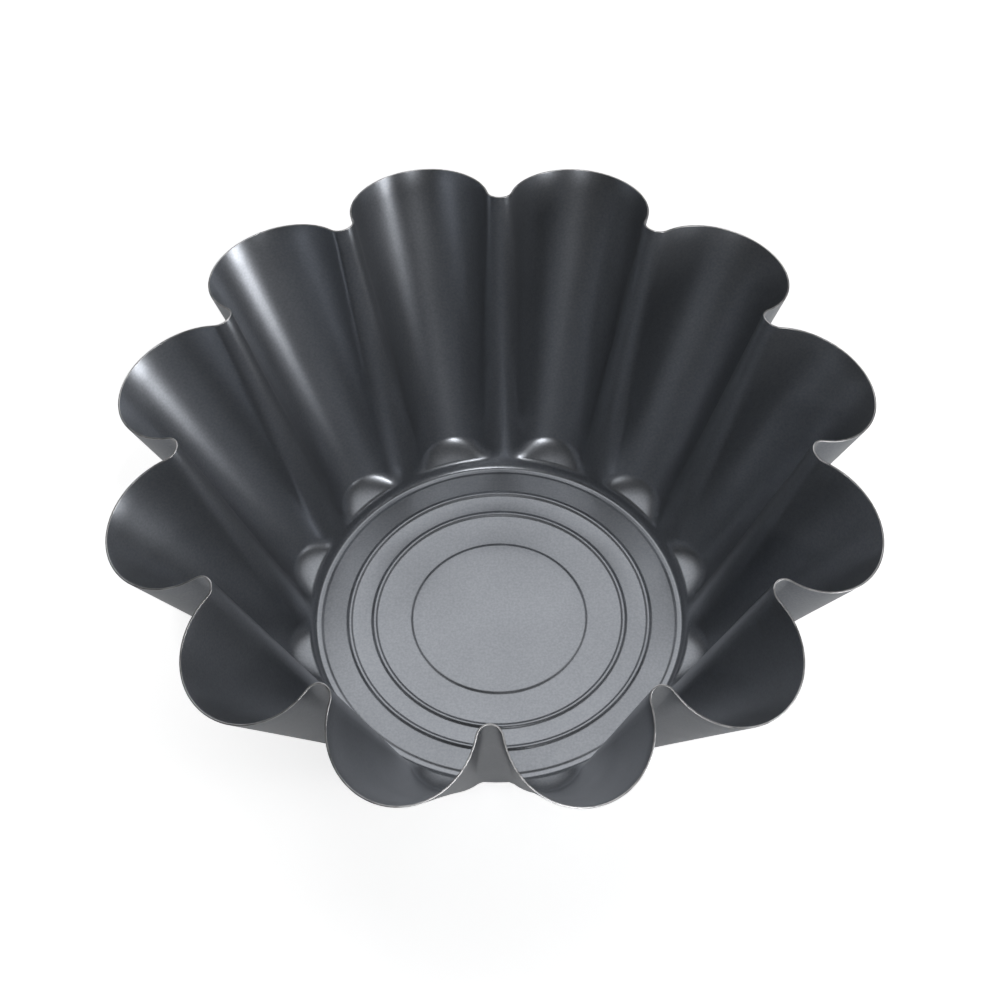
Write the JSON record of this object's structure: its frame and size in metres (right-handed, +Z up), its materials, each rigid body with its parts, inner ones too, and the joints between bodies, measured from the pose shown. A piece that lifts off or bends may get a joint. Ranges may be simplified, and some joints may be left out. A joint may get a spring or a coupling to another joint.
{
  "type": "fluted brioche mould",
  "caption": "Round fluted baking mould pressed from coated sheet steel, with flared lobes, a scalloped rim and a flat ringed floor.",
  "frame": {"origin": "centre of the circle that the mould stands on", "axes": "+Z up out of the open mouth; +Y through one crease, -Y towards the viewer of the picture"},
  "size_m": [0.2138, 0.2138, 0.0915],
  "materials": {
    "coated_steel": "satin non-stick coating, anthracite"
  },
  "bodies": {
    "root": {"mould_shell": "coated_steel"}
  },
  "joints": []
}
